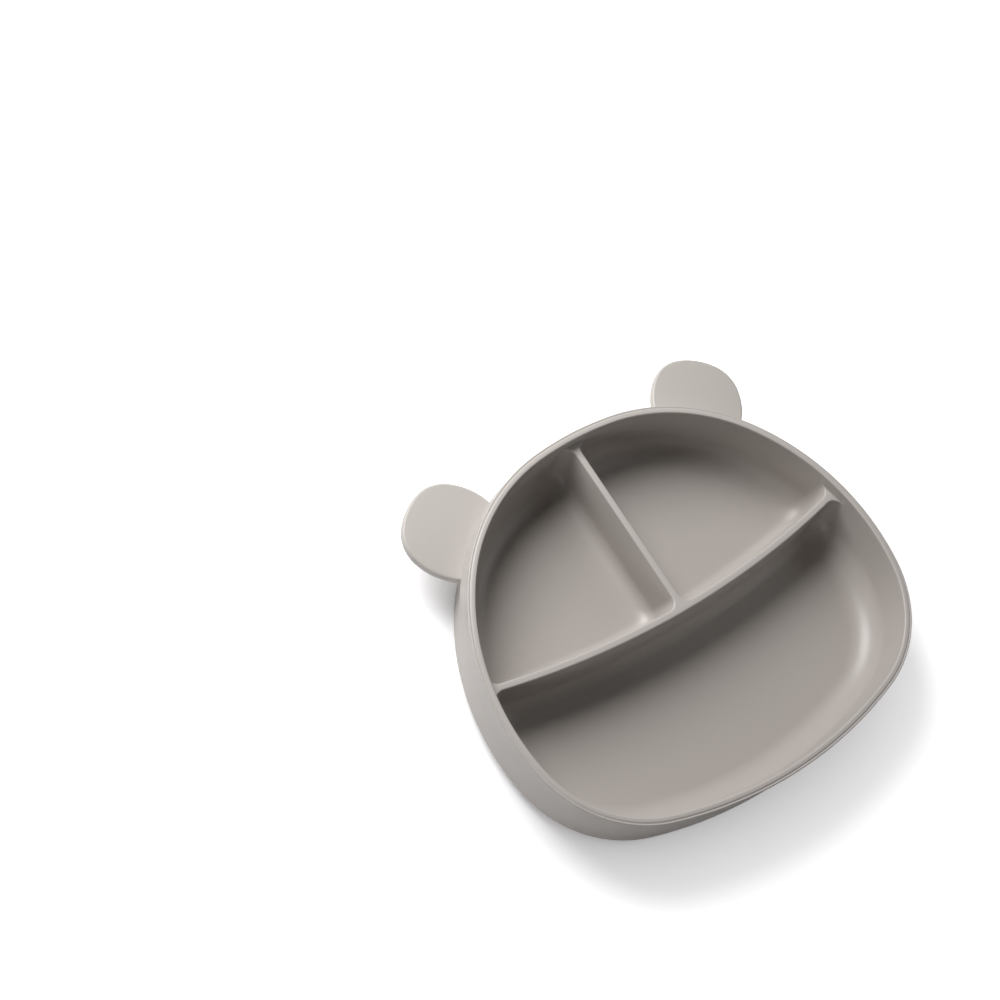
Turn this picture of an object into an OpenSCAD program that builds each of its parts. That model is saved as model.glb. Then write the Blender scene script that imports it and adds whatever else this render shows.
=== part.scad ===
/* [Bowl] */
// Width of the bowl from cheek to cheek, ears not counted
body_w = 198; // [176:1:220]
// Height from the table to the top of the rim
body_h = 35; // [32:0.5:42]
// Height of the compartment floor above the table
floor_z = 6; // [5.5:0.1:9]
// Thickness of the floor
floor_t = 2.8; // [2:0.1:3.2]
// Width of the flat top of the rim
rim_w = 3; // [2.6:0.1:4]
// Lean of the inside wall, in degrees
wall_draft = 4; // [2:0.5:7]
// Lean of the outside wall, in degrees
skin_draft = 2; // [0.5:0.5:3]
// Radius where the inside wall runs into the floor
wall_fillet = 12; // [7:0.5:14]
// Radius of the lower outside edge
foot_round = 6.5; // [4:0.5:7]

/* [Head outline] */
// Radius of the flat crown arc between the ears
crown_r = 156; // [130:1:180]
// Turn of the outline along half of the crown arc
crown_turn = 7; // [5:0.5:9]
// Radius of the arc that the ear grows from
brow_r = 86; // [80:0.5:92]
// Turn of the outline along the brow arc
brow_turn = 44; // [40:1:48]
// Radius of the long side arc
side_r = 105; // [98:1:112]
// Turn of the outline along the side arc
side_turn = 49; // [45:1:53]
// Radius of the cheek arc
cheek_r = 55; // [52:0.5:58]
// Turn of the outline along the cheek arc
cheek_turn = 62.5; // [60:0.5:65]

/* [Dividers] */
// Thickness of the dividers at their top
divider_t = 3; // [2.6:0.1:4]
// How far the divider tops lie below the rim
divider_drop = 5.2; // [3:0.1:9]
// Lean of each divider face, in degrees
divider_draft = 3.5; // [2:0.5:5]
// Radius where a divider runs into the floor
divider_fillet = 6; // [4:0.5:7]
// Rounding of the divider's upper edges
divider_edge = 0.6; // [0.4:0.1:1.2]
// Radius of the cross divider's curve
arc_r = 423; // [300:1:800]
// Distance of the cross divider from the middle, toward the chin
arc_drop = 3; // [0:0.5:8]
// Radius of the upright corners of the compartments
corner_r = 5; // [4:0.5:7]

/* [Ears] */
// Radius of the flat outer end of the ears
ear_tip_r = 29; // [24:0.5:34]
// Turn of the ear's outline along half of its outer end
ear_tip_turn = 17; // [12:0.5:20]
// Radius of the ears' shoulders
ear_shoulder_r = 17; // [15:0.5:19]
// Turn of the ear's outline along each shoulder
ear_shoulder_turn = 52; // [48:1:56]
// Radius of the ears' flanks, which run into the wall
ear_flank_r = 28; // [24:1:34]
// Bearing in which the ears point, from the crown
ear_bearing = 35.8; // [32:0.2:39]
// Distance of the ear's tip from the middle line
ear_tip_x = 79; // [76:0.5:82]
// Distance of the ear's tip above the middle of the bowl
ear_tip_y = 90.4; // [87:0.2:93]
// Thickness of the ears
ear_t = 4; // [3:0.1:5]
// How far the ears' upper face lies below the rim
ear_drop = 10.3; // [7:0.1:13]
// Rounding of the ears' edges
ear_edge = 1.2; // [0.8:0.1:1.4]

/* [Suction base] */
// Radius of the suction ring that the plate stands on
cup_r = 58; // [48:0.5:60]
// Width of the ring's sealing face
seal_w = 2; // [1.5:0.1:3]
// Height of the bowl's lower edge above the table
foot_gap = 1; // [0.5:0.1:1.5]
// Length of the tab that breaks the seal
tab_l = 9; // [6:0.5:10]

/* [Hidden] */

clay = [0.74, 0.715, 0.695];
rim_round = 0.6;
lip_round = 0.8;
// Groove below the lip and parting bead below the groove, as depths into and out of the wall
groove_in = 0.35;
bead_out = 0.3;
// Their heights below the lip's rounding: groove from and to, bead from and to, end of the bead's run-out
groove_z = [0.35, 0.7];
bead_z = [1.1, 1.6, 2.6];
// Widening of the compartments' corners from the divider tops to the floor
corner_growth = 0.3;
// The bowl's underside: depth of its skirt inside the foot, and slopes where it meets the floor
skirt_w = 2.5;
skirt_lean = 0.4;
under_bevel = 0.6;
// Depth to which the ears' roots, the ring and the tab reach into what they grow from
ear_sink = 2;
ring_sink = 0.5;
tab_sink = 2.5;
// The ring's root, its reach inward and outward, and the height of its upright edge
ring_w = 9;
ring_flare = 5;
ring_edge = 0.7;
tab_w = 12;
tab_t = 1.6;
tab_lift = 0.3;

// Bearings run clockwise from the crown (0) to the chin (180)
function dir(b) = [sin(b), cos(b)];
function bearing(v) = atan2(v[0], v[1]);

// The head outline: five tangent arcs from the crown to the chin
b1 = crown_turn;
b2 = b1 + brow_turn;
b3 = b2 + side_turn;
b4 = b3 + cheek_turn;
raw0 = [0, -crown_r];
raw1 = raw0 + (crown_r - brow_r) * dir(b1);
raw2 = raw1 + (brow_r - side_r) * dir(b2);
raw3 = raw2 + (side_r - cheek_r) * dir(b3);
chin_r = cheek_r + raw3[0] / sin(b4);
raw4 = raw3 + (cheek_r - chin_r) * dir(b4);
fit = body_w / 2 / (raw2[0] + side_r);
middle = [0, (raw4[1] - chin_r) / 2];
centres = [for (c = [raw0, raw1, raw2, raw3, raw4]) fit * (c - middle)];
radii = [for (r = [crown_r, brow_r, side_r, cheek_r, chin_r]) fit * r];

function arc_at(b) = b < b1 ? 0 : b < b2 ? 1 : b < b3 ? 2 : b < b4 ? 3 : 4;
// The point of the right half at bearing b, moved outward by d
function half_point(b, d) = let (i = arc_at(b)) centres[i] + (radii[i] + d) * dir(b);
function flip(p) = [-p[0], p[1]];
function steps(a, b, n) = [for (i = [0:n]) a + (b - a) * i / n];
function inner_steps(a, b, n) = [for (i = [1:n - 1]) a + (b - a) * i / n];
// A right half from crown to chin, completed with its mirror image
function both_halves(half) = concat(half, [for (i = [len(half) - 2:-1:1]) flip(half[i])]);

// Heights
z_rim = body_h;
z_div = body_h - divider_drop;
z_under = floor_z - floor_t;

// Distance of the outside wall from the widest outline at height z
function skin_in(z) = (z_rim - z) * tan(skin_draft);

// A face that leans by draft and runs into the floor with radius r
function face_line(z, lean) = (z_rim - z) * tan(lean);
function face_tangent(lean, r) = floor_z + r - r * sin(lean);
function fillet_axis(lean, r) = face_line(face_tangent(lean, r), lean) + r * cos(lean);
function fillet_at(z, lean, r) = fillet_axis(lean, r) - sqrt(max(0, r * r - pow(floor_z + r - z, 2)));
function face_at(z, lean, r) = z > face_tangent(lean, r) ? face_line(z, lean) : fillet_at(z, lean, r);

// Distance of the inside wall from the widest outline at height z
function wall_in(z) = rim_w + face_at(z, wall_draft, wall_fillet);
// Half the thickness of a divider at height z
function divider_lean(z) = face_at(z, divider_draft, divider_fillet) - face_line(z_div, divider_draft);
function divider_half(z) = z > z_div - divider_edge
    ? divider_t / 2 - divider_edge + sqrt(max(0, pow(divider_edge, 2) - pow(z - z_div + divider_edge, 2)))
    : divider_t / 2 + divider_lean(z);

// Heights of the rings that a compartment is lofted through, from the divider tops down
pocket_z = concat(
    [for (a = [0:30:90]) z_div - divider_edge * (1 - cos(a))],
    [for (a = [wall_draft, 18, 32, 46, 60, 75, 90]) floor_z + wall_fillet * (1 - sin(a))]
);
function pocket_corner(z) = corner_r * (1 + corner_growth * (z_div - z) / (z_div - floor_z));

arc_c = [0, arc_r - arc_drop];

// Bearing at which the outline moved inward by d crosses x
function bearing_at_x(x, d, lo = 0, hi = 88, n = 26) = let (m = (lo + hi) / 2)
    n == 0 ? m : half_point(m, -d)[0] < x ? bearing_at_x(x, d, m, hi, n - 1) : bearing_at_x(x, d, lo, m, n - 1);
// Bearing at which it is at distance r from the cross divider's centre
function bearing_at_r(r, d, lo = 55, hi = 140, n = 26) = let (m = (lo + hi) / 2)
    n == 0 ? m : norm(half_point(m, -d) - arc_c) < r ? bearing_at_r(r, d, m, hi, n - 1) : bearing_at_r(r, d, lo, m, n - 1);

// Bearings where the compartments' corners leave the wall: crown, upper side, lower side
function crown_end(u, h, c) = bearing_at_x(h + c, u + c);
function upper_end(u, h, c) = bearing_at_r(arc_r - h - c, u + c);
function lower_end(u, h, c) = bearing_at_r(arc_r + h + c, u + c);

// The same three at the divider tops, where the compartments open into the mouth
u0 = wall_in(z_div);
h0 = divider_half(z_div);
e1 = crown_end(u0, h0, corner_r);
e2 = upper_end(u0, h0, corner_r);
e3 = lower_end(u0, h0, corner_r);

crown_n = 2;
upper_n = 26;
side_n = 3;
lower_n = 26;
corner_n = 6;
arc_n = 9;

bearings = concat(steps(0, e1, crown_n), inner_steps(e1, e2, upper_n), steps(e2, e3, side_n), inner_steps(e3, 180, lower_n), [180]);
function outline(d) = both_halves([for (b = bearings) half_point(b, d)]);

function corner(c, r, angles) = [for (t = angles) c + r * dir(t)];

// The upper right compartment: wall, side corner, cross divider, middle corner, middle divider, crown corner
function upper_outline(u, h, c) =
    let (
        ba = crown_end(u, h, c),
        bb = upper_end(u, h, c),
        ca = half_point(ba, -u - c),
        cb = half_point(bb, -u - c),
        cc = [h + c, arc_c[1] - sqrt(pow(arc_r - h - c, 2) - pow(h + c, 2))],
        tb = bearing(cb - arc_c),
        tc = bearing(cc - arc_c)
    )
    concat(
        [for (b = steps(ba, bb, upper_n)) half_point(b, -u)],
        corner(cb, c, inner_steps(bb, tb, corner_n)),
        [for (b = steps(tb, tc, arc_n)) arc_c + (arc_r - h) * dir(b)],
        corner(cc, c, inner_steps(tc, 270, corner_n)),
        corner(cc, c, [270]),
        corner(ca, c, [270]),
        corner(ca, c, inner_steps(270, 360 + ba, corner_n))
    );

// The crescent below the cross divider
function lower_outline(u, h, c) =
    let (
        bd = lower_end(u, h, c),
        cd = half_point(bd, -u - c),
        td = bearing(cd - arc_c)
    )
    both_halves(concat(
        [for (b = steps(180, td, arc_n)) arc_c + (arc_r + h) * dir(b)],
        corner(cd, c, inner_steps(td - 180, bd, corner_n)),
        [for (b = steps(bd, 180, lower_n)) half_point(b, -u)]
    ));

function raise(ring, z) = [for (p = ring) [p[0], p[1], z]];
function mirrored(ring) = [for (i = [len(ring) - 1:-1:0]) [-ring[i][0], ring[i][1], ring[i][2]]];

// Section through the wall, as inset from the widest outline and height: space under the floor,
// foot, outside wall, parting bead, groove, lip, inner edge of the rim, wall of the mouth
z_foot = foot_gap + foot_round;
z_lip = z_rim - lip_round;
under_in = skin_in(foot_gap) + foot_round + skirt_w;
edge_in = wall_in(z_rim - rim_round) - rim_round;
wall_profile = concat(
    [
        [under_in + under_bevel, z_under],
        [under_in, z_under - under_bevel],
        [under_in - skirt_lean, foot_gap]
    ],
    [for (a = [90:-18:0]) [skin_in(z_foot) + foot_round * (1 - cos(a)), z_foot - foot_round * sin(a)]],
    [
        [skin_in(z_lip - bead_z[2]), z_lip - bead_z[2]],
        [-bead_out, z_lip - bead_z[1]],
        [-bead_out, z_lip - bead_z[0]],
        [groove_in, z_lip - groove_z[1]],
        [groove_in, z_lip - groove_z[0]]
    ],
    [for (a = [0:30:90]) [lip_round * (1 - cos(a)), z_rim - lip_round * (1 - sin(a))]],
    [for (a = [90:-30:0]) [edge_in + rim_round * cos(a), z_rim - rim_round * (1 - sin(a))]],
    [[u0, z_div]]
);

wall_rings = [for (p = wall_profile) raise(outline(-p[0]), p[1])];
right_rings = [for (z = pocket_z) raise(upper_outline(wall_in(z), divider_half(z), pocket_corner(z)), z)];
left_rings = [for (r = right_rings) mirrored(r)];
lower_rings = [for (z = pocket_z) raise(lower_outline(wall_in(z), divider_half(z), pocket_corner(z)), z)];

// Numbers of a ring's n points, the first being number s
function numbers(s, n) = [for (i = [0:n - 1]) s + i];
function backward(v) = [for (i = [len(v) - 1:-1:0]) v[i]];
// Facets between two rings of point numbers
function band(p, q) = [for (i = [0:len(p) - 1]) let (j = (i + 1) % len(p)) each [
    [p[i], p[j], q[j]],
    [p[i], q[j], q[i]]
]];
// Facets through count rings of n points, after the first ring of numbers
function skin(first, s, n, count) = concat(
    band(first, numbers(s + n, n)),
    [for (k = [1:count - 2]) each band(numbers(s + k * n, n), numbers(s + (k + 1) * n, n))]
);

// The moulded bowl as one closed surface: from the space under the floor, out over the foot and the
// rim, and down into the three compartments, which share their upper edge with the wall of the mouth
module bowl() {
    n = len(wall_rings[0]);
    nu = len(right_rings[0]);
    nl = len(lower_rings[0]);
    rows = len(pocket_z);
    mouth = (len(wall_rings) - 1) * n;
    right = mouth + n;
    left = right + rows * nu;
    low = left + rows * nu;
    side = crown_n + upper_n;
    cheek = side + side_n;
    turn = arc_n + corner_n;
    right_top = [for (i = [0:nu - 1]) i <= upper_n ? mouth + crown_n + i : right + i];
    left_top = [for (i = [0:nu - 1]) let (k = nu - 1 - i) k <= upper_n ? mouth + n - crown_n - k : left + i];
    low_top = [for (i = [0:nl - 1]) i >= turn && i <= nl - turn ? mouth + cheek + i - turn : low + i];
    // Points along the dividers on the right side: crown to middle corner, then both sides of the cross divider
    post = [for (i = [nu:-1:upper_n + turn]) right_top[i % nu]];
    post_left = [for (i = [nu:-1:upper_n + turn]) left_top[nu - 1 - i % nu]];
    over = [for (k = [0:turn]) upper_n + turn - k];
    tops = concat(
        [[for (i = [-crown_n:crown_n]) mouth + (i + n) % n]],
        [for (i = [0:len(post) - 2]) [post_left[i], post[i], post[i + 1], post_left[i + 1]]],
        [[left_top[nu - 1 - over[0]], right_top[over[0]], low_top[0]]],
        [for (k = [0:turn - 1]) [right_top[over[k]], right_top[over[k + 1]], low_top[k + 1], low_top[k]]],
        [for (k = [0:turn - 1]) [
            left_top[nu - 1 - over[k + 1]],
            left_top[nu - 1 - over[k]],
            low_top[(nl - k) % nl],
            low_top[nl - k - 1]
        ]],
        [[for (i = [side:cheek]) mouth + i], [for (i = [cheek:-1:side]) mouth + n - i]]
    );
    chin = turn + lower_n;
    floors = [
        numbers(right + (rows - 1) * nu, nu),
        numbers(left + (rows - 1) * nu, nu),
        [for (i = [0:nl - 1]) low + (rows - 1) * nl + (chin + i) % nl]
    ];
    polyhedron(
        points = [for (rings = [wall_rings, right_rings, left_rings, lower_rings]) for (r = rings) each r],
        faces = concat(
            [backward(numbers(0, n))],
            tops,
            skin(numbers(0, n), 0, n, len(wall_rings)),
            skin(right_top, right, nu, rows),
            skin(left_top, left, nu, rows),
            skin(low_top, low, nl, rows),
            floors
        )
    );
}

// The ear's outline: tangent arcs at its tip, shoulders and flanks, ending inside the wall
ear_c1 = [ear_tip_x, ear_tip_y] - ear_tip_r * dir(ear_bearing);
ear_root_r = radii[1] - ear_sink;
function ear_c2(s) = ear_c1 + (ear_tip_r - ear_shoulder_r) * dir(ear_bearing + s * ear_tip_turn);
function ear_c3(s) = ear_c2(s) + (ear_shoulder_r - ear_flank_r) * dir(ear_bearing + s * (ear_tip_turn + ear_shoulder_turn));
function flank_point(s, t, d) = ear_c3(s) + (ear_flank_r + d) * dir(ear_bearing + s * t);
// Turn at which a flank reaches the wall
function flank_end(s, lo = 69, hi = 170, n = 24) = let (m = (lo + hi) / 2)
    n == 0 ? m : norm(flank_point(s, m, 0) - centres[1]) > ear_root_r ? flank_end(s, m, hi, n - 1) : flank_end(s, lo, m, n - 1);
// One side of the ear from the tip to the wall, moved outward by d
function ear_side(s, d) = let (t1 = ear_tip_turn, t2 = t1 + ear_shoulder_turn) concat(
    [for (t = steps(0, t1, 4)) ear_c1 + (ear_tip_r + d) * dir(ear_bearing + s * t)],
    [for (t = inner_steps(t1, t2, 9)) ear_c2(s) + (ear_shoulder_r + d) * dir(ear_bearing + s * t)],
    [for (t = steps(t2, flank_end(s), 5)) flank_point(s, t, d)]
);
function ear_outline(d) =
    let (
        right = ear_side(1, d),
        left = ear_side(-1, d),
        r1 = bearing(right[len(right) - 1] - centres[1]),
        r2 = bearing(left[len(left) - 1] - centres[1])
    )
    concat(
        right,
        [for (t = inner_steps(r1, r2, 8)) centres[1] + ear_root_r * dir(t)],
        [for (i = [len(left) - 1:-1:1]) left[i]]
    );

z_ear = z_rim - ear_drop;
ear_profile = concat(
    [for (a = [90:-22.5:0]) [ear_edge * (1 - cos(a)), z_ear - ear_t + ear_edge * (1 - sin(a))]],
    [for (a = [0:22.5:90]) [ear_edge * (1 - cos(a)), z_ear - ear_edge * (1 - sin(a))]]
);
ear_rings = [for (p = ear_profile) raise(ear_outline(-p[0]), p[1])];

// A ring seen from below, beginning at its first point
function backward_from_first(n) = concat([0], backward(numbers(1, n - 1)));

// An ear: a flat tongue with rounded edges
module ear() {
    n = len(ear_rings[0]);
    count = len(ear_rings);
    polyhedron(
        points = [for (r = ear_rings) each r],
        faces = concat(
            [backward_from_first(n), numbers((count - 1) * n, n)],
            skin(numbers(0, n), 0, n, count)
        )
    );
}

// Flexible ring under the floor that seals on the table
module suction_ring() {
    rotate_extrude($fn = 72)
        polygon([
            [cup_r - ring_w, z_under + ring_sink],
            [cup_r - ring_w, z_under],
            [cup_r - seal_w, 0],
            [cup_r, 0],
            [cup_r, ring_edge],
            [cup_r - ring_flare, z_under],
            [cup_r - ring_flare, z_under + ring_sink]
        ]);
}

// Tongue on the ring, toward the chin, to lift when the seal is broken
module release_tab() {
    translate([0, -cup_r - tab_l + tab_w / 2, tab_lift])
        linear_extrude(tab_t)
            union() {
                circle(d = tab_w, $fn = 48);
                translate([-tab_w / 2, 0])
                    square([tab_w, tab_l - tab_w / 2 + tab_sink]);
            }
}

// Middle of the plan view from the chin to the ears, which lies over the origin
plan_y = (ear_c2(-1)[1] + ear_shoulder_r + centres[4][1] - radii[4] - bead_out) / 2;

module suction_plate() {
    color(clay)
        translate([0, -plan_y, 0]) {
            bowl();
            ear();
            mirror([1, 0, 0])
                ear();
            suction_ring();
            release_tab();
        }
}

suction_plate();
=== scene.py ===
# %% [markdown]
# A suction plate for a baby's first meals: one soft moulding of food-grade silicone.
# It has a head-shaped outline with two round ears, a deep wall, and dividers that part the bowl
# into two upper compartments and a lower crescent. It stands on a thin suction ring.
# This lesson builds it in the order that a toolmaker would cut the mould: first the outline,
# then the wall that follows it, then the compartments, the ears, and what is hidden underneath.

import math

import bmesh
import bpy
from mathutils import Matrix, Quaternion, Vector
from mathutils.kdtree import KDTree


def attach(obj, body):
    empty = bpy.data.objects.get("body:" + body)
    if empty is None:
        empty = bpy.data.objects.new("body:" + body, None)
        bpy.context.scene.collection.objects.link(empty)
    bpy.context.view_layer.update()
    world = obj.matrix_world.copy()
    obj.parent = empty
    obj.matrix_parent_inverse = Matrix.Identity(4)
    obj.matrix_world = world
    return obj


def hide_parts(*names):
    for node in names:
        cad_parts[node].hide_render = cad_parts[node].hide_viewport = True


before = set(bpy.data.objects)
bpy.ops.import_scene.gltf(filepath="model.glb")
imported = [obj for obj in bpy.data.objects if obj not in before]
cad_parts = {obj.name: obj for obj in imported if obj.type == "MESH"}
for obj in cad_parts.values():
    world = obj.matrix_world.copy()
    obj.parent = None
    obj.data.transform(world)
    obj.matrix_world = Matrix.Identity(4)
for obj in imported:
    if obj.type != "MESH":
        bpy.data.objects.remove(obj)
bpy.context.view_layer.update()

# %% [markdown]
# Every size is a real one, written in millimetres and turned into metres by one factor.
# Nearly all are the same as in the part's source. Only the bead and groove of the lip and the
# wedges above the ears have sizes of their own here.

# %% Sizes of the bowl
MM = 0.001
body_w = 198 * MM
body_h = 35 * MM
floor_z = 6 * MM
floor_t = 2.8 * MM
rim_w = 3 * MM
wall_draft = math.radians(4)
skin_draft = math.radians(2)
wall_fillet = 12 * MM
foot_round = 6.5 * MM
foot_gap = 1 * MM
rim_round = 0.6 * MM
bead_out = 0.3 * MM
bead_r = 0.45 * MM
bead_drop = 0.62 * MM
flare_top, flare_foot = 2 * MM, 3.4 * MM
skirt_w = 2.5 * MM
skirt_lean = 0.4 * MM
under_bevel = 0.6 * MM

divider_t = 3 * MM
divider_drop = 5.2 * MM
divider_draft = math.radians(3.5)
divider_fillet = 6 * MM
divider_edge = 0.6 * MM
arc_r = 423 * MM
arc_drop = 3 * MM
corner_r = 5 * MM
corner_growth = 0.3

z_divider = body_h - divider_drop
z_under = floor_z - floor_t
weld = 0.001 * MM
heights = {"floor": floor_z, "divider tops": z_divider, "rim": body_h}
print("heights in mm:", {name: round(z / MM, 1) for name, z in heights.items()})

# %% [markdown]
# The outline looks free, but a designer draws such a head from a few arcs that run into each
# other without a kink: crown, brow, side, cheek and chin. Two arcs are tangent where both centres
# and the joint lie on one line, so each centre is found by stepping along that line.
# A place on the outline is named by its bearing: 0 at the crown, clockwise to 180 at the chin.

# %% Head outline from five tangent arcs
def toward(bearing):
    a = math.radians(bearing)
    return Vector((math.sin(a), math.cos(a)))


def bearing_of(v):
    return math.degrees(math.atan2(v.x, v.y))


raw_radii = [156 * MM, 86 * MM, 105 * MM, 55 * MM]
turns = [7, 44, 49, 62.5]
joints = [sum(turns[: i + 1]) for i in range(4)]

raw_centres = [Vector((0, -raw_radii[0]))]
for i in range(3):
    raw_centres.append(raw_centres[i] + (raw_radii[i] - raw_radii[i + 1]) * toward(joints[i]))
raw_radii.append(raw_radii[3] + raw_centres[3].x / math.sin(math.radians(joints[3])))
raw_centres.append(raw_centres[3] + (raw_radii[3] - raw_radii[4]) * toward(joints[3]))

fit = body_w / 2 / (raw_centres[2].x + raw_radii[2])
middle = Vector((0, (raw_centres[4].y - raw_radii[4]) / 2))
centres = [fit * (c - middle) for c in raw_centres]
radii = [fit * r for r in raw_radii]
print("arc radii in mm:", [round(r / MM, 1) for r in radii])


def on_outline(bearing, inset):
    """The point of the right half at a bearing, moved inward by inset."""
    i = sum(bearing >= j for j in joints)
    return centres[i] + (radii[i] - inset) * toward(bearing)


# %% [markdown]
# A mould needs draft: its walls lean a little so that the silicone comes off the steel. The inside
# leans more than the outside, so the wall thickens toward the floor, into which it runs with a
# large radius. These functions give the inset of each face at any height.

# %% Lean and fillets of the walls
def leaning(z, draft, fillet):
    """Inset of a face that leans by draft from the rim and runs into the floor with a fillet."""
    z_tangent = floor_z + fillet - fillet * math.sin(draft)
    if z > z_tangent:
        return (body_h - z) * math.tan(draft)
    axis = (body_h - z_tangent) * math.tan(draft) + fillet * math.cos(draft)
    return axis - math.sqrt(max(0, fillet**2 - (floor_z + fillet - z) ** 2))


def outside_in(z):
    return (body_h - z) * math.tan(skin_draft)


def wall_in(z):
    return rim_w + leaning(z, wall_draft, wall_fillet)


def divider_half(z):
    edge_z = z_divider - divider_edge
    if z > edge_z:
        return divider_t / 2 - divider_edge + math.sqrt(max(0, divider_edge**2 - (z - edge_z) ** 2))
    above = (body_h - z_divider) * math.tan(divider_draft)
    return divider_t / 2 + leaning(z, divider_draft, divider_fillet) - above


z_fillet = floor_z + wall_fillet
print("wall above its fillet in mm:", round((wall_in(z_fillet) - outside_in(z_fillet)) / MM, 2))

# %% [markdown]
# Each compartment's outline is wall, round corner, divider, round corner. The corners are found
# by halving: the search is for the bearing at which a circle of the corner's radius touches both
# the wall and the divider.

# %% Outlines of the compartments
arc_centre = Vector((0, arc_r - arc_drop))


def search(test, low, high):
    for _ in range(40):
        mid = (low + high) / 2
        low, high = (mid, high) if test(mid) else (low, mid)
    return (low + high) / 2


def crown_end(u, h, c):
    return search(lambda b: on_outline(b, u + c).x < h + c, 0, 88)


def upper_end(u, h, c):
    return search(lambda b: (on_outline(b, u + c) - arc_centre).length < arc_r - h - c, 55, 140)


def lower_end(u, h, c):
    return search(lambda b: (on_outline(b, u + c) - arc_centre).length < arc_r + h + c, 55, 140)


def corner_at(z):
    return corner_r * (1 + corner_growth * (z_divider - z) / (z_divider - floor_z))


def spread(a, b, n, ends=True):
    return [a + (b - a) * i / n for i in range(0 if ends else 1, n + 1 if ends else n)]


crown_n, upper_n, side_n, lower_n = 4, 72, 6, 72
corner_n, arc_n = 12, 24


def upper_outline(z):
    """The upper right compartment at height z."""
    u, h, c = wall_in(z), divider_half(z), corner_at(z)
    b_crown, b_side = crown_end(u, h, c), upper_end(u, h, c)
    c_crown, c_side = on_outline(b_crown, u + c), on_outline(b_side, u + c)
    c_mid = Vector((h + c, arc_centre.y - math.sqrt((arc_r - h - c) ** 2 - (h + c) ** 2)))
    b_out, b_mid = bearing_of(c_side - arc_centre), bearing_of(c_mid - arc_centre)
    points = [on_outline(b, u) for b in spread(b_crown, b_side, upper_n)]
    points += [c_side + c * toward(b) for b in spread(b_side, b_out, corner_n, False)]
    points += [arc_centre + (arc_r - h) * toward(b) for b in spread(b_out, b_mid, arc_n)]
    points += [c_mid + c * toward(b) for b in spread(b_mid, 270, corner_n, False) + [270]]
    points += [c_crown + c * toward(b) for b in [270] + spread(270, 360 + b_crown, corner_n, False)]
    return [(p.x, p.y, z) for p in points]


def with_mirror(half):
    return half + [Vector((-p.x, p.y)) for p in half[-2:0:-1]]


def lower_outline(z):
    """The crescent below the cross divider at height z."""
    u, h, c = wall_in(z), divider_half(z), corner_at(z)
    b_side = lower_end(u, h, c)
    c_side = on_outline(b_side, u + c)
    b_out = bearing_of(c_side - arc_centre)
    half = [arc_centre + (arc_r + h) * toward(b) for b in spread(180, b_out, arc_n)]
    half += [c_side + c * toward(b) for b in spread(b_out - 180, b_side, corner_n, False)]
    half += [on_outline(b, u) for b in spread(b_side, 180, lower_n)]
    return [(p.x, p.y, z) for p in with_mirror(half)]


print("points round a compartment:", len(upper_outline(floor_z)), len(lower_outline(floor_z)))

# %% [markdown]
# The wall's own outline shares its points with the compartments where they open into the mouth,
# so that both can be welded there with no seam.

# %% Outline of the wall
u0, h0 = wall_in(z_divider), divider_half(z_divider)
b_crown0, b_upper0, b_lower0 = (f(u0, h0, corner_r) for f in (crown_end, upper_end, lower_end))
bearings = spread(0, b_crown0, crown_n) + spread(b_crown0, b_upper0, upper_n, False)
bearings += spread(b_upper0, b_lower0, side_n) + spread(b_lower0, 180, lower_n)[1:]


def head_outline(inset, z):
    return [(p.x, p.y, z) for p in with_mirror([on_outline(b, inset) for b in bearings])]


def quarter(steps, start=0, end=90):
    return [math.radians(start + (end - start) * i / steps) for i in range(steps + 1)]


z_foot = foot_gap + foot_round
under_in = outside_in(foot_gap) + foot_round + skirt_w
edge_in = wall_in(body_h - rim_round) - rim_round

# Underneath: the edge of the recess and the inside of the skirt
section = [
    (under_in + under_bevel, z_under),
    (under_in, z_under - under_bevel),
    (under_in - skirt_lean, foot_gap),
]
# The rounded foot and the outside, which flares out to the lip
for a in quarter(10, 90, 0):
    foot_in = outside_in(z_foot) + foot_round * (1 - math.cos(a))
    section.append((foot_in, z_foot - foot_round * math.sin(a)))
section += [(outside_in(body_h - drop), body_h - drop) for drop in (12 * MM, flare_foot)]
section.append((-bead_out, body_h - flare_top))
# A rounded bead runs round the lip, and a fine shallow groove parts it from the flat of the rim
for a in quarter(6, 0, 110):
    bead_z = body_h - bead_drop + bead_r * math.sin(a)
    section.append((-bead_out + bead_r * (1 - math.cos(a)), bead_z))
groove = [(0.45, 0.28), (0.6, 0.31), (0.75, 0.27), (0.9, 0.17), (1.05, 0.06), (1.2, 0)]
section += [(inset * MM, body_h - drop * MM) for inset, drop in groove]
# The flat's rounded inner edge, and the wall down to the divider tops
for a in quarter(5, 90, 0):
    section.append((edge_in + rim_round * math.cos(a), body_h - rim_round * (1 - math.sin(a))))
section.append((u0, z_divider))
print("rings in the wall's section:", len(section), "points in each:", 2 * len(bearings) - 2)

# %% [markdown]
# The bowl is modelled as a potter coils one. A circle with one point for each place on the
# outline is laid down and moved onto the first ring of the section. It is extruded, the new ring
# is moved to its own place, and so on: up the outside, over the rim and down the inside.

# %% Helpers for ring modelling
def edit_mesh():
    return bmesh.from_edit_mesh(bpy.context.object.data)


def lay_ring(points):
    """A circle primitive whose points, in order of bearing, are moved onto the given ones."""
    bpy.ops.mesh.select_all(action="DESELECT")
    bpy.ops.mesh.primitive_circle_add(vertices=len(points), radius=body_w / 2)
    new = sorted((v for v in edit_mesh().verts if v.select), key=lambda v: bearing_of(v.co))
    for v, p in zip(new, points):
        v.co = p
    bmesh.update_edit_mesh(bpy.context.object.data)


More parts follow.
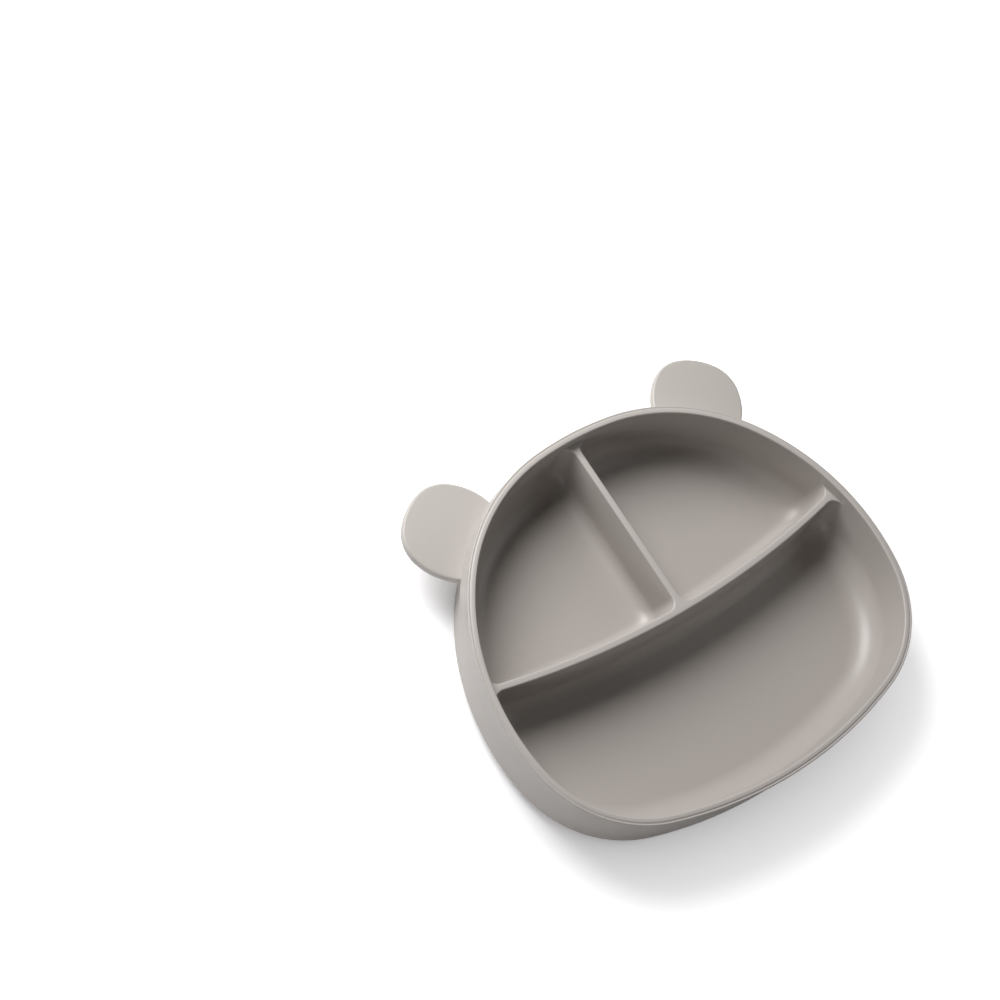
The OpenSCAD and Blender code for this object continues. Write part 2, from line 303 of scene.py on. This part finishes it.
def grow_ring(old, new):
    """Extrudes the selected ring, and moves the new one from its points old to new."""
    bpy.ops.mesh.extrude_region_move()
    tree = KDTree(len(old))
    for i, p in enumerate(old):
        tree.insert(p, i)
    tree.balance()
    for v in edit_mesh().verts:
        if v.select:
            v.co = new[tree.find(v.co)[1]]
    bmesh.update_edit_mesh(bpy.context.object.data)


def coil(rings):
    lay_ring(rings[0])
    for old, new in zip(rings, rings[1:]):
        grow_ring(old, new)


def new_piece(name):
    """An empty mesh object in edit mode, to lay the first ring in."""
    bpy.ops.object.select_all(action="DESELECT")
    bpy.ops.mesh.primitive_circle_add(vertices=3, radius=0.01)
    piece = bpy.context.object
    piece.name = name
    bpy.ops.object.mode_set(mode="EDIT")
    bpy.ops.mesh.select_all(action="SELECT")
    bpy.ops.mesh.delete(type="VERT")
    return piece


def finish_piece(piece):
    bpy.ops.mesh.select_all(action="SELECT")
    bpy.ops.mesh.remove_doubles(threshold=weld)
    bpy.ops.mesh.normals_make_consistent(inside=False)
    bpy.ops.object.mode_set(mode="OBJECT")
    print(piece.name, "faces:", len(piece.data.polygons))
    return piece


def bridge(one, other):
    """Bridges the two rows of edges that run through the given points."""
    bpy.ops.mesh.select_all(action="DESELECT")
    mesh = edit_mesh()
    tree = KDTree(len(mesh.verts))
    for i, v in enumerate(mesh.verts):
        tree.insert(v.co, i)
    tree.balance()
    mesh.verts.ensure_lookup_table()
    for p in (*one, *other):
        mesh.verts[tree.find(p)[1]].select = True
    mesh.select_flush_mode()
    bmesh.update_edit_mesh(bpy.context.object.data)
    bpy.ops.mesh.bridge_edge_loops()


# %% Coil the wall of the bowl
plate = new_piece("plate")
coil([head_outline(inset, z) for inset, z in section])

# %% [markdown]
# The compartments are coiled downward from the divider tops in the same way. First come the
# rounded edges of the dividers, then the leaning wall, then the fillet, which flattens into the
# floor. The flat floor is the last ring's own face. The left compartment mirrors the right one.

# %% Coil the compartments
levels = [z_divider - divider_edge * (1 - math.cos(a)) for a in quarter(5)]
levels += [floor_z + wall_fillet * (1 - math.sin(a)) for a in quarter(16, 4, 90)]
upper_right = [upper_outline(z) for z in levels]
upper_left = [[(-x, y, z) for x, y, z in ring] for ring in upper_right]
lower = [lower_outline(z) for z in levels]

for rings in (upper_right, upper_left, lower):
    coil(rings)
    bpy.ops.mesh.edge_face_add()

# %% [markdown]
# Where a compartment runs straight up into the mouth, both were given the same points, so merging
# by distance welds them. The flat divider tops are then bridged from edge to edge: the middle
# divider between the two upper compartments, and each half of the cross divider. Filling the holes
# closes what is left: the ends at the wall, the middle of the T and the underside.

# %% Weld, and close the divider tops and the underside
bpy.ops.mesh.select_all(action="SELECT")
bpy.ops.mesh.remove_doubles(threshold=weld)

turn = arc_n + corner_n
for upper, side in ((upper_right[0], 1), (upper_left[0], -1)):
    facing = [(side * x, y, z) for x, y, z in lower[0][: turn + 1]]
    bridge(upper[upper_n : upper_n + turn + 1], facing)
middle_edge = [*upper_right[0][upper_n + turn :], upper_right[0][0]]
bridge(middle_edge, [(-x, y, z) for x, y, z in middle_edge])

bpy.ops.mesh.select_all(action="SELECT")
bpy.ops.mesh.fill_holes(sides=0)
finish_piece(plate)


def open_edges(piece):
    mesh = bmesh.new()
    mesh.from_mesh(piece.data)
    count = sum(not e.is_manifold for e in mesh.edges)
    mesh.free()
    return count


print("open edges of the bowl:", open_edges(plate))

# %% [markdown]
# An ear is a flat tongue with rounded edges, whose root lies inside the wall. It isn't quite round:
# its tip and its flanks are flatter than its shoulders, so it too is drawn from tangent arcs. It is
# coiled like the bowl, from its lower face over its rounded edge to its upper face, and holes at
# both faces are filled.

# %% Ears
ear_tip_r, ear_shoulder_r, ear_flank_r = 29 * MM, 17 * MM, 28 * MM
ear_tip_turn, ear_shoulder_turn = 17, 52
ear_bearing = 35.8
ear_tip = Vector((79, 90.4)) * MM
ear_t = 4 * MM
ear_drop = 10.3 * MM
ear_edge = 1.2 * MM
ear_sink = 2 * MM
ear_root_r = radii[1] - ear_sink
ear_end = ear_tip_turn + ear_shoulder_turn


def ear_flank(side, t, inset):
    """A point of a flank at turn t from the ear's own axis."""
    c1 = ear_tip - ear_tip_r * toward(ear_bearing)
    c2 = c1 + (ear_tip_r - ear_shoulder_r) * toward(ear_bearing + side * ear_tip_turn)
    c3 = c2 + (ear_shoulder_r - ear_flank_r) * toward(ear_bearing + side * ear_end)
    centre, r = (c1, ear_tip_r) if t < ear_tip_turn else (c2, ear_shoulder_r)
    if t > ear_end:
        centre, r = c3, ear_flank_r
    return centre + (r - inset) * toward(ear_bearing + side * t)


def ear_ring(inset, z, mirror):
    """Both flanks down to where they meet the root, and the root's arc inside the wall."""

    def outside_root(t):
        return (ear_flank(side, t, 0) - centres[1]).length > ear_root_r

    sides = []
    for side in (1, -1):
        end = search(outside_root, ear_end, 170)
        sides.append([ear_flank(side, t, inset) for t in spread(0, end, 48)])
    right, left = sides
    roots = [bearing_of(s[-1] - centres[1]) for s in sides]
    root = [centres[1] + ear_root_r * toward(b) for b in spread(*roots, 12, False)]
    return [(mirror * p.x, p.y, z) for p in right + root + left[:0:-1]]


z_ear = body_h - ear_drop
z_low = z_ear - ear_t
edge_curve = [(ear_edge * (1 - math.cos(a)), ear_edge * (1 - math.sin(a))) for a in quarter(8)]
ear_section = [(inset, z_low + up) for inset, up in reversed(edge_curve)]
ear_section += [(inset, z_ear - down) for inset, down in edge_curve]

ears = []
for mirror in (1, -1):
    ear = new_piece("ear")
    coil([ear_ring(inset, z, mirror) for inset, z in ear_section])
    bpy.ops.mesh.select_all(action="SELECT")
    bpy.ops.mesh.fill_holes(sides=0)
    ears.append(finish_piece(ear))

# %% [markdown]
# Above each ear the wall can't lean inward on its way down, or the upper half of the mould would
# not lift off. So a thin wedge lies on the wall there: flush at the bead, thickest at the ear, and
# a little wider than the ear's root.

# %% Wedges above the ears
wedge_out = 1.1 * MM
wedge_from, wedge_to = 13, 59
wedge_taper = 5
wedge_top = body_h - flare_top
flare = (bead_out + outside_in(body_h - flare_foot)) / (flare_foot - flare_top)
skin_gap = 0.02 * MM


def wedge_ring(z, mirror):
    """The wedge at height z: it leans outward on its way down, and its ends run into the wall."""
    share = (wedge_top - z) / (wedge_top - z_ear)
    skin = min(outside_in(z), (wedge_top - z) * flare - bead_out)
    proud = -bead_out * (1 - share) - wedge_out * share
    arc = []
    for b in spread(wedge_from, wedge_to, 92):
        full = min(1, (b - wedge_from) / wedge_taper, (wedge_to - b) / wedge_taper)
        arc.append(on_outline(b, skin * (1 - full) + proud * full + skin_gap))
    arc += [on_outline(b, ear_sink) for b in spread(wedge_to - 1, wedge_from + 1, 12)]
    return [(mirror * p.x, p.y, z) for p in arc]


wedge_levels = [*spread(z_ear - 0.3 * MM, body_h - flare_foot, 3), wedge_top]
for mirror in (1, -1):
    wedge = new_piece("wedge")
    coil([wedge_ring(z, mirror) for z in wedge_levels])
    bpy.ops.mesh.select_all(action="SELECT")
    bpy.ops.mesh.fill_holes(sides=0)
    ears.append(finish_piece(wedge))

# %% [markdown]
# Underneath, a plate of this kind has a thin flexible ring that flattens on the table and holds by
# suction, and a small tongue that lifts it. The ring is a turned form, so one section is drawn
# beside the axis and spun round it. The tongue is a block with a rounded end.

# %% Suction ring and release tab
cup_r = 58 * MM
seal_w = 2 * MM
ring_w = 9 * MM
ring_flare = 5 * MM
ring_edge = 0.7 * MM
ring_sink = 0.5 * MM
tab_l = 9 * MM
tab_w = 12 * MM
tab_t = 1.6 * MM
tab_lift = 0.3 * MM
tab_sink = 2.5 * MM

ring_section = [
    (cup_r - ring_w, 0, z_under + ring_sink),
    (cup_r - ring_w, 0, z_under),
    (cup_r - seal_w, 0, 0),
    (cup_r, 0, 0),
    (cup_r, 0, ring_edge),
    (cup_r - ring_flare, 0, z_under),
    (cup_r - ring_flare, 0, z_under + ring_sink),
]
suction_ring = new_piece("suction ring")
lay_ring(ring_section)
bpy.ops.mesh.spin(steps=160, angle=math.tau, center=(0, 0, 0), axis=(0, 0, 1))
finish_piece(suction_ring)


def pick_edges(test):
    """Selects the edges whose two ends pass the test."""
    bpy.ops.mesh.select_mode(type="EDGE")
    bpy.ops.mesh.select_all(action="DESELECT")
    for e in edit_mesh().edges:
        if test(e.verts[0].co, e.verts[1].co):
            e.select = True
    bmesh.update_edit_mesh(bpy.context.object.data)


bpy.ops.object.select_all(action="DESELECT")
tab_low, tab_high = -cup_r - tab_l, -cup_r + tab_sink
tab_middle = (0, (tab_low + tab_high) / 2, tab_lift + tab_t / 2)
bpy.ops.mesh.primitive_cube_add(size=1, location=tab_middle)
release_tab = bpy.context.object
release_tab.name = "release tab"
release_tab.scale = (tab_w, tab_high - tab_low, tab_t)
bpy.ops.object.transform_apply(location=True, rotation=True, scale=True)
bpy.ops.object.mode_set(mode="EDIT")
pick_edges(lambda a, b: abs(a.z - b.z) > tab_t / 2 and a.y < tab_low + tab_t)
bpy.ops.mesh.bevel(offset=tab_w / 2 - 0.01 * MM, segments=16, affect="EDGES")
finish_piece(release_tab)

# %% [markdown]
# All of this leaves the mould in one piece, so it becomes one closed mesh here too: each part is
# united with the bowl by a Boolean modifier, which is applied.

# %% Unite the moulding
def unite(piece, other):
    bpy.ops.object.select_all(action="DESELECT")
    piece.select_set(True)
    bpy.context.view_layer.objects.active = piece
    joint = piece.modifiers.new("join", "BOOLEAN")
    joint.operation = "UNION"
    joint.solver = "MANIFOLD"
    joint.object = other
    bpy.ops.object.modifier_apply(modifier=joint.name)
    bpy.data.objects.remove(other)
    print("joined:", len(piece.data.polygons), "faces")


for other in (*ears, suction_ring, release_tab):
    unite(plate, other)
print("faces:", len(plate.data.polygons), "open edges:", open_edges(plate))

bpy.ops.object.shade_smooth_by_angle(angle=math.radians(32))

# %% [markdown]
# The part's own zero point is under the middle of its plan view, ears included, so the finished
# mesh is moved there.

# %% Centre the plan view on the origin
ear_shoulder = ear_tip - ear_tip_r * toward(ear_bearing)
ear_shoulder += (ear_tip_r - ear_shoulder_r) * toward(ear_bearing - ear_tip_turn)
ear_top = ear_shoulder.y + ear_shoulder_r
chin = centres[4].y - radii[4] - bead_out
plan_y = (ear_top + chin) / 2
bpy.ops.object.mode_set(mode="EDIT")
bpy.ops.mesh.select_all(action="SELECT")
bpy.ops.transform.translate(value=(0, -plan_y, 0))
bpy.ops.object.mode_set(mode="OBJECT")
print("moved toward the chin by", round(plan_y / MM, 2), "mm")

# %% [markdown]
# Silicone of this kind is one colour all through, here a warm grey, and its surface copies the
# steel of the mould. The outside, the rim and the divider tops are a little rougher; the
# compartments are a little smoother, and their colour is made darker than the rest: that is painted
# shade, which deepens the whole inside of the bowl. A very fine grain, read in the piece's own
# coordinates, breaks up the shine.

# %% Silicone
def silicone(name, colour, roughness):
    material = bpy.data.materials.new(name)
    material.use_nodes = True
    nodes, links = material.node_tree.nodes, material.node_tree.links
    shader = nodes["Principled BSDF"]
    shader.inputs["Base Color"].default_value = (*colour, 1)
    shader.inputs["Roughness"].default_value = roughness
    shader.inputs["Specular IOR Level"].default_value = 0.4
    place_on_piece = nodes.new("ShaderNodeTexCoord")
    grain = nodes.new("ShaderNodeTexNoise")
    grain.inputs["Scale"].default_value = 1800
    grain.inputs["Detail"].default_value = 2
    bump = nodes.new("ShaderNodeBump")
    bump.inputs["Strength"].default_value = 0.06
    bump.inputs["Distance"].default_value = 0.02 * MM
    links.new(place_on_piece.outputs["Object"], grain.inputs["Vector"])
    links.new(grain.outputs["Fac"], bump.inputs["Height"])
    links.new(bump.outputs["Normal"], shader.inputs["Normal"])
    return material


plate.data.materials.clear()
plate.data.materials.append(silicone("plain warm grey silicone", (0.495, 0.461, 0.433), 0.4))
# The second material repeats the first, only darker: painted shade for the inside of the bowl.
plate.data.materials.append(silicone("warm grey silicone with painted shade", (0.430, 0.397, 0.371), 0.37))

# %% [markdown]
# The darker copy of the silicone, whose darker colour is painted shade, goes onto the faces of the
# compartments: all that lies between the floor and the divider edges, and the wall of the mouth
# above them, up to the rounded edge of the rim.

# %% Paint shade into the compartments
def inset_of(p):
    """How far a point lies inside the head outline."""
    q = Vector((abs(p.x), p.y))
    starts = [0, *joints]
    ends = [*joints, 181]
    for centre, r, start, end in zip(centres, radii, starts, ends):
        if start <= bearing_of(q - centre) <= end:
            return r - (q - centre).length
    return body_w


def gets_painted_shade(face):
    p = face.calc_center_median() + Vector((0, plan_y, 0))
    if p.z < floor_z - 0.01 * MM or inset_of(p) < rim_w - 0.3 * MM:
        return False
    on_wall = p.z < body_h - rim_round and abs(inset_of(p) - wall_in(p.z)) < 0.5 * MM
    return p.z < z_divider - divider_edge or on_wall


bpy.ops.object.mode_set(mode="EDIT")
bpy.ops.mesh.select_mode(type="FACE")
bpy.ops.mesh.select_all(action="DESELECT")
# These faces get the darker colour, which is painted shade.
painted_shade_faces = [f for f in edit_mesh().faces if gets_painted_shade(f)]
for f in painted_shade_faces:
    f.select = True
bmesh.update_edit_mesh(plate.data)
plate.active_material_index = 1
bpy.ops.object.material_slot_assign()
print("faces with painted shade:", len(painted_shade_faces))
bpy.ops.object.mode_set(mode="OBJECT")

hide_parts("suction_plate")
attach(plate, "root")

# %% [markdown]
# The plate stands on a plain white floor. What the camera sees of it is lifted by an even glow,
# which fades where the plate stands close: that fade is a painted contact shadow, added to the real
# shadow that the lamps cast on the floor. So the floor stays white to the edge of the picture and
# still keeps a soft shadow. The glow throws no light on the plate.

# %% Floor
bpy.ops.object.select_all(action="DESELECT")
bpy.ops.mesh.primitive_plane_add(size=8, location=(0, 0, 0))
floor = bpy.context.object
floor.name = "floor"
glow_level = 0.7
paper = bpy.data.materials.new("white floor")
paper.use_nodes = True
nodes, links = paper.node_tree.nodes, paper.node_tree.links
nodes.clear()
lit = nodes.new("ShaderNodeBsdfDiffuse")
lit.inputs["Color"].default_value = (0.92, 0.92, 0.93, 1)
# Ambient occlusion dims the glow near the plate: a painted contact shadow.
painted_contact_shadow = nodes.new("ShaderNodeAmbientOcclusion")
painted_contact_shadow.inputs["Distance"].default_value = 40 * MM
painted_contact_shadow.inputs["Color"].default_value = (1, 0.99, 1, 1)
ray = nodes.new("ShaderNodeLightPath")
strength = nodes.new("ShaderNodeMath")
strength.operation = "MULTIPLY"
strength.inputs[1].default_value = glow_level
glow = nodes.new("ShaderNodeEmission")
both = nodes.new("ShaderNodeAddShader")
out = nodes.new("ShaderNodeOutputMaterial")
links.new(ray.outputs["Is Camera Ray"], strength.inputs[0])
links.new(strength.outputs["Value"], glow.inputs["Strength"])
links.new(painted_contact_shadow.outputs["Color"], glow.inputs["Color"])
links.new(lit.outputs["BSDF"], both.inputs[0])
links.new(glow.outputs["Emission"], both.inputs[1])
links.new(both.outputs["Shader"], out.inputs["Surface"])
floor.data.materials.append(paper)

# %% [markdown]
# A round softbox hangs close by, beyond the crown and to the left, so the ears are lit more than
# the chin. Two weak panels, at the right and behind the camera, open the shadows a little. At
# distance d a disc lamp needs the power (pi d)^2 for a matt white sheet that faces it to look
# white. Beyond the floor the camera sees the floor's own glow, so that no horizon shows.

# %% Light
def aim(azimuth, elevation):
    """Unit vector toward a place seen at an azimuth, counted from +X, and an elevation."""
    a, e = math.radians(azimuth), math.radians(elevation)
    return Vector((math.cos(a) * math.cos(e), math.sin(a) * math.cos(e), math.sin(e)))


def softbox(name, azimuth, elevation, distance, size, level):
    direction = aim(azimuth, elevation)
    mid_height = Vector((0, 0, 20 * MM))
    bpy.ops.object.light_add(type="AREA", location=direction * distance + mid_height)
    lamp = bpy.context.object
    lamp.name = name
    lamp.data.shape = "DISK"
    lamp.data.size = size
    lamp.data.energy = level * (math.pi * distance) ** 2
    lamp.rotation_euler = (-direction).to_track_quat("-Z", "Y").to_euler()


softbox("key softbox", 103, 42, 0.75, 0.5, 1.31)
softbox("right panel", -20, 35, 0.7, 0.5, 0.15)
softbox("rear panel", 208, 12, 0.7, 0.28, 0.18)

world = bpy.data.worlds.new("studio")
bpy.context.scene.world = world
world.use_nodes = True
nodes, links = world.node_tree.nodes, world.node_tree.links
sky = nodes["Background"]
sky.inputs["Color"].default_value = (1, 1, 1, 1)
sky.inputs["Strength"].default_value = 0.02
far = nodes.new("ShaderNodeBackground")
far.inputs["Color"].default_value = (1, 1, 1, 1)
far.inputs["Strength"].default_value = glow_level
ray = nodes.new("ShaderNodeLightPath")
either = nodes.new("ShaderNodeMixShader")
links.new(ray.outputs["Is Camera Ray"], either.inputs["Fac"])
links.new(sky.outputs["Background"], either.inputs[1])
links.new(far.outputs["Background"], either.inputs[2])
links.new(either.outputs["Shader"], nodes["World Output"].inputs["Surface"])
bpy.context.scene.view_settings.view_transform = "Standard"

# %% [markdown]
# The camera is a 72 mm lens less than a metre away. It looks down on the plate from beyond the
# left cheek and is turned about its own axis, so that the plate lies aslant in the picture.

# %% Camera
camera_data = bpy.data.cameras.new("camera")
camera = bpy.data.objects.new("camera", camera_data)
bpy.context.scene.collection.objects.link(camera)
camera_data.sensor_width = 36
camera_data.lens = 72
look_at = Vector((-28.91, 76.32, 0)) * MM
camera_azimuth = -154.14
camera_elevation = 61.63
camera_distance = 865.8 * MM
camera_turn = 33.41

back = aim(camera_azimuth, camera_elevation)
camera.location = look_at + back * camera_distance
camera.rotation_mode = "QUATERNION"
roll = Quaternion((0, 0, 1), math.radians(camera_turn))
camera.rotation_quaternion = (-back).to_track_quat("-Z", "Y") @ roll
camera_data.clip_start = 0.05
camera_data.clip_end = 50
bpy.context.scene.camera = camera

# %% Update the scene
bpy.context.view_layer.update()
